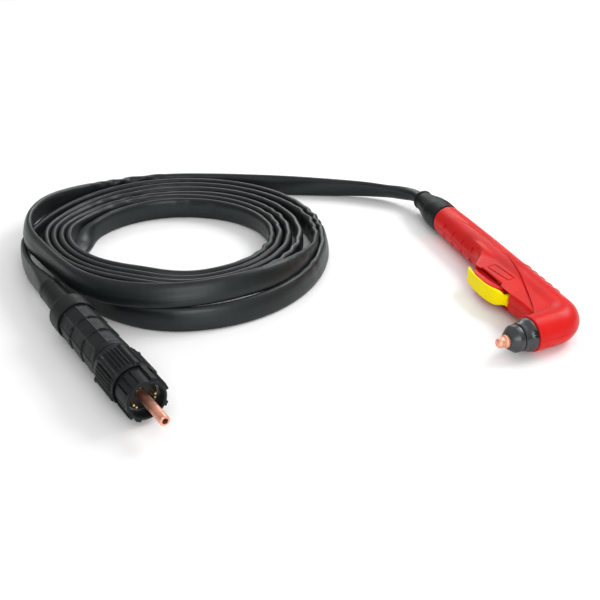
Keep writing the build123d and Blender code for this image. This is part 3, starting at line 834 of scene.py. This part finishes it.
def rounded_section(low, high, half, radius):
    """Outline of a rounded box in (y, z): low to high in y, half to each side in z."""
    radius = min(radius, half * 0.98, (high - low) * 0.49)
    points = []
    corners = [
        (high - radius, half - radius, 0), (low + radius, half - radius, 90),
        (low + radius, radius - half, 180), (high - radius, radius - half, 270),
    ]
    for y, z, start in corners:
        for corner_step in range(CORNER_STEPS + 1):
            a = math.radians(start + 90 * corner_step / CORNER_STEPS)
            points.append((y + radius * math.cos(a), z + radius * math.sin(a)))
    return points


lever_outer = curve_through([(122.4, -39.0), (124, -39.9), (130, -41.4), (141, -42.8), (156, -43.2),
                             (168, -42.3), (177, -40.0), (182, -37.6), (186.6, -33.6)])
lever_inner = curve_through([(122.4, -38.2), (126, -37.9), (133, -39.6), (145, -41.0), (158, -41.0),
                             (168, -39.4), (177, -35.8), (182, -33.4), (186.6, -32.4)])
lever_half = curve_through([(122.4, 6.6), (124, 7.4), (127, 7.9), (176, 7.9), (179, 7.6), (186.6, 5.4)])
LEVER_EDGE = 0.7                     # rounding of the lever's edges
HUB_RADIUS = 4.4
HUB_HALF = 5.4
HUB_EDGE = 0.8
NECK_REACH = 8.6                     # from the pivot down to the lever's plate


def lever_section(x):
    """The plate: a thin rounded bar below the trigger's mouth."""
    outer, inner = float(lever_outer(x)), float(lever_inner(x))
    return rounded_section(outer, inner, float(lever_half(x)), LEVER_EDGE)


def hub_section(x):
    """The hub: a disc about the pivot, with a neck down to the plate on its rear side."""
    pivot_x, pivot_y = LEVER_PIVOT[:2]
    drop = math.sqrt(max(0.05, HUB_RADIUS**2 - (x - pivot_x) ** 2))
    neck = NECK_REACH * (x < pivot_x + 1)
    return rounded_section(pivot_y - max(drop, neck), pivot_y + drop, HUB_HALF, HUB_EDGE)


stations = np.concatenate([[122.4, 122.7, 123.3], np.arange(124, 186, 0.9), [186.2, 186.6]])
bar("lever_plate", stations, lever_section, "safety_lever", "yellow_plastic", ("safety_lever",))
bar("lever_hub", np.linspace(184.8, 193.2, 18), hub_section, "safety_lever", "yellow_plastic", ())

lathe(
    "lever_pin", BOOT_JOINT + LEVER_PIVOT, UP,
    [(-9.2, 0.2), (-9.2, 1.2), (-8.9, 1.45), (8.9, 1.45), (9.2, 1.2), (9.2, 0.2)],
    "torch", "steel", ("lever_pivot_pin",), 40,
)

trigger_outer = curve_through([(128.2, -33.0), (132, -36.6), (140, -39.4), (155, -40.5), (166, -38.9),
                               (172, -36.6), (176.8, -33.2)])
flange_edge = curve_through([(128.2, -32.4), (132, -34.6), (140, -35.2), (155, -34.4), (166, -32.4),
                             (176.8, -30.0)])
TRIGGER_BACK = -27.5                 # leaves room inside for the trigger's travel


def trigger_section(x):
    """The blade: a stem inside the mouth that widens to a rounded face outside it."""
    outer = float(trigger_outer(x))
    edge = max(float(flange_edge(x)), outer + 0.5)
    half = [
        (TRIGGER_BACK, 5.4), (edge + 0.3, 5.4), (edge, 5.8), (edge, 7.1), (edge - 0.2, 7.5),
        (outer + 0.9, 7.5), (outer + 0.2, 7.2), (outer, 6.4),
    ]
    return [(y, -z) for y, z in half] + half[::-1]


bar("trigger_blade", np.arange(128.2, 176.9, 0.9), trigger_section, "trigger", "red_plastic",
    ("trigger_button",))


# ---------------------------------------------------------------- head
CAP_RADIUS = 15.5
NOTCH_HALF = 0.6
NOTCH_DEPTH = 1.5


def cap_shape(s, a, r):
    """Slanted notches on the cap beside the head, three groups of three."""
    extra = np.zeros_like(s)
    for group in (0.5, 2.6, 4.7):
        for centre in (group - 0.15, group, group + 0.15):
            slanted = centre + (s - 46.4) * 0.03
            off = angle_from(a, slanted) * CAP_RADIUS
            notch = (np.abs(off) < NOTCH_HALF) * ramp(s, 45.2, 45.6) * (1 - ramp(s, 48.8, 49.6))
            extra -= NOTCH_DEPTH * notch
    return np.where(r > 12.5, extra, 0)


lathe(
    "cap", ELBOW, HEAD_DIR,
    [(45.2, 12.6), (45.0, 14.9), (45.3, 15.5), (45.8, 15.8), (47.2, 15.75), (48.6, 15.5), (50.0, 14.9),
     (51.4, 14.2), (53.0, 13.75), (55.6, 13.45), (56.6, 13.2), (57.0, 12.6), (57.2, 11.9), (57.3, 9.4)],
    "cap", "cap_grey", ("retaining_cap",), 256, cap_shape, 30, 0.5,
)
lathe(
    "shield", ELBOW, HEAD_DIR,
    [(57.6, 9.0), (57.65, 11.8), (57.9, 12.5), (58.5, 12.85), (60.0, 12.9), (62.6, 12.75), (63.6, 12.5),
     (64.6, 11.8), (66.6, 10.4), (68.4, 9.0), (69.6, 7.9), (70.1, 7.3), (70.1, 6.6), (69.4, 6.35),
     (66, 6.6)],
    "cap", "cap_grey", ("shield_cap",), 128, None, 40, 0.8,
)
lathe(
    "nozzle", ELBOW, HEAD_DIR,
    [(58.0, 5.0), (58.0, 6.1), (72.2, 6.08), (72.9, 5.7), (73.4, 4.95), (73.8, 4.85), (77.2, 4.75),
     (78.6, 4.55), (79.7, 4.0), (80.5, 3.1), (80.95, 1.9), (81.0, 0.62), (76, 0.6)],
    "nozzle", "copper", ("cutting_nozzle",), 96, None, 28, 0.6,
)


# ---------------------------------------------------------------- connector
def sleeve_shape(s, a, r):
    """Two soft creases, and an oval towards the flat hose."""
    crease = 0.3 * bell(s, -41, 1.8) + 0.2 * bell(s, -34, 2.2)
    oval = 0.5 * (1 - ramp(s, -48, -10)) * np.cos(2 * a)
    return np.where(r > 9, -oval - crease, 0)


lathe(
    "rear_sleeve", CONNECTOR, CONNECTOR_DIR,
    [(-38, 9.4), (-49.4, 9.8), (-50.0, 10.6), (-49.7, 11.3), (-48.6, 11.6), (-40, 11.7), (-28, 11.9),
     (-15, 12.3), (0, 12.9), (4, 13.0)],
    "torch", "black_rubber", ("connector_rear_sleeve",), 128, sleeve_shape, 40, 1.5,
)
lathe(
    "rear_collar", CONNECTOR, CONNECTOR_DIR,
    [(1.5, 12.8), (0.3, 13.6), (0.0, 15.6), (0.4, 17.2), (1.4, 18.7), (3.0, 19.6), (5.0, 19.85),
     (22.0, 19.85), (23.0, 19.75), (23.6, 19.4), (23.8, 18.9), (23.5, 18.5), (19.5, 18.3), (19.5, 16.5)],
    "torch", "dark_plastic", ("connector_rear_collar",), 144, None, 35, 1.5,
)

GRIP_RADIUS = 19.0                   # over the ridges between the facets
GRIP_COLUMNS = 10
GRIP_ROW = 26.0                      # length of one row of facets
FIRST_ROW = 27.0                     # where the first row begins
ROW_ARCH = 4.2                       # a row ends this much further back amid a facet
FRONT_RING = 18.95
REAR_RING = 17.7


def grip_shape(s, a, r):
    """Long flat facets in three rows, with arched ends and a scoop after each end."""
    width = 2 * math.pi / GRIP_COLUMNS
    column = np.floor((a + 0.2) / width)
    local = (a + 0.2) - (column + 0.5) * width
    facet = GRIP_RADIUS * math.cos(width / 2) / np.cos(local)
    seam = 0.42 * np.exp(-(((np.abs(local) - width / 2) / 0.025) ** 2))
    arch = ROW_ARCH * np.cos(local / width * math.pi)
    in_row = np.mod(s - FIRST_ROW + arch, GRIP_ROW)
    rise = 0.75 * ramp(in_row, 0.6, GRIP_ROW - 0.4)
    scoop = 1.9 * bell(in_row, 1.5, 1.1) * np.exp(-((local / 0.17) ** 4))
    panels = facet - 0.55 + seam + rise - scoop
    # plain rings at the front, by the nut, and at the rear, by the collar
    front = ramp(s, 98, 102)
    ring = FRONT_RING - 0.25 * ramp(s, 104.6, 105.6)
    blended = panels * (1 - front) + ring * front
    rear = 1 - ramp(s, 24.6, 26.6)
    blended = blended * (1 - rear) + REAR_RING * rear
    return np.where(r > 15, blended - r, 0)


lathe(
    "grip", CONNECTOR, CONNECTOR_DIR,
    [(20, 15.5), (20, 17.0), (105.6, 18.7), (105.9, 18.2), (105.9, 15.5)],
    "torch", "dark_plastic", ("connector_grip",), 360, grip_shape, 30, 0.5,
)


NUT_LOBES = 6
RIBS_PER_GROUP = 4
RIB_SHARE = 0.62                     # of a lobe's period
NUT_RIB_HEIGHT = 0.7
NUT_RECESS = 0.9
LOBE_HEIGHT = 2.4


def nut_shape(s, a, r):
    """Groups of fine ribs with a broad lobe between them."""
    period = 2 * math.pi / NUT_LOBES
    phase = np.mod(a + 0.55, period) / period
    waves = np.sin(phase / RIB_SHARE * RIBS_PER_GROUP * 2 * math.pi - 0.4)
    ribs = NUT_RIB_HEIGHT * np.clip(1.4 * waves + 0.1, -1, 1)
    lobe = np.exp(-(((phase - (1 + RIB_SHARE) / 2) / 0.13) ** 4))
    front = ramp(s, 143.4, 144.6)
    ribbed = ramp(s, 114.2, 116.0) * (1 - front)
    lobed = ramp(s, 111.0, 114.0) * (1 - ramp(s, 147.4, 148.8))
    extra = np.where(phase < RIB_SHARE, ribs, -NUT_RECESS) * ribbed - NUT_RECESS * front
    return np.where(r > 19.6, extra + LOBE_HEIGHT * lobe * lobed, 0)


lathe(
    "lock_nut", CONNECTOR, CONNECTOR_DIR,
    [(108, 18.2), (106.4, 18.3), (106.4, 18.6), (106.9, 18.95), (109.5, 19.3), (112.0, 20.0),
     (113.5, 20.3), (116, 20.45), (147.4, 20.6), (148.6, 20.2), (149.0, 19.6), (149.0, 19.3),
     (144.0, 19.0), (144.0, 17.96)],
    "lock_nut", "dark_plastic", ("connector_lock_nut",), 480, nut_shape, 30, 0.7,
)


# ---------------------------------------------------------------- floor, light and camera
FLOOR_HALF = 6.0
floor_mesh = bpy.data.meshes.new("floor")
floor_corners = [(-1, -1), (1, -1), (1, 1), (-1, 1)]
floor_mesh.from_pydata(
    [(x * FLOOR_HALF, y * FLOOR_HALF, 0) for x, y in floor_corners], [], [(0, 1, 2, 3)],
)
floor = bpy.data.objects.new("floor", floor_mesh)
bpy.context.collection.objects.link(floor)
floor_look = moulded(300, 0.00002, 0.01)
floor_mesh.materials.append(material("floor", (0.97, 0.97, 0.97), 0.95, build=floor_look))

# a white room that is darker near the horizon, so that upright sides stay dark
world = bpy.data.worlds.new("studio")
bpy.context.scene.world = world
world.use_nodes = True
background = world.node_tree.nodes["Background"]
sky_nodes, sky_links = world.node_tree.nodes, world.node_tree.links
direction = sky_nodes.new("ShaderNodeTexCoord")
split = sky_nodes.new("ShaderNodeSeparateXYZ")
height = sky_nodes.new("ShaderNodeMapRange")
height.inputs["From Min"].default_value = 0.0
height.inputs["From Max"].default_value = 0.8
height.inputs["To Min"].default_value = 0.15
height.inputs["To Max"].default_value = 0.84
sky_links.new(direction.outputs["Generated"], split.inputs["Vector"])
sky_links.new(split.outputs["Z"], height.inputs["Value"])
sky_links.new(height.outputs["Result"], background.inputs["Strength"])
background.inputs["Color"].default_value = (1.0, 1.0, 1.0, 1)


def area_light(name, place, target, size, power):
    """A soft rectangular light, with its place, target and size in metres."""
    light = bpy.data.lights.new(name, "AREA")
    light.energy = power
    light.shape = "RECTANGLE"
    light.size = size[0]
    light.size_y = size[1]
    obj = bpy.data.objects.new(name, light)
    bpy.context.collection.objects.link(obj)
    obj.location = place
    obj.rotation_euler = (Vector(target) - Vector(place)).to_track_quat("-Z", "Y").to_euler()


area_light("key", (-0.25, 1.15, 1.15), (-0.05, -0.15, 0), (0.9, 0.7), 15)
area_light("fill", (1.35, -0.35, 0.55), (-0.05, -0.2, 0), (0.8, 0.7), 9)
area_light("rim", (-1.3, 0.3, 0.7), (-0.05, -0.2, 0), (0.8, 0.5), 5.0)

# the photograph's view, from +X and -Y and from above
camera_data = bpy.data.cameras.new("camera")
camera_data.lens = 60
camera_data.sensor_width = 36
camera = bpy.data.objects.new("camera", camera_data)
bpy.context.collection.objects.link(camera)
camera.location = (0.8104, -0.4716, 0.4848)
aim = Vector((-0.0127, -0.1760, 0.0)) - camera.location
camera.rotation_euler = aim.to_track_quat("-Z", "Y").to_euler()
bpy.context.scene.camera = camera
bpy.context.scene.view_settings.view_transform = "Standard"
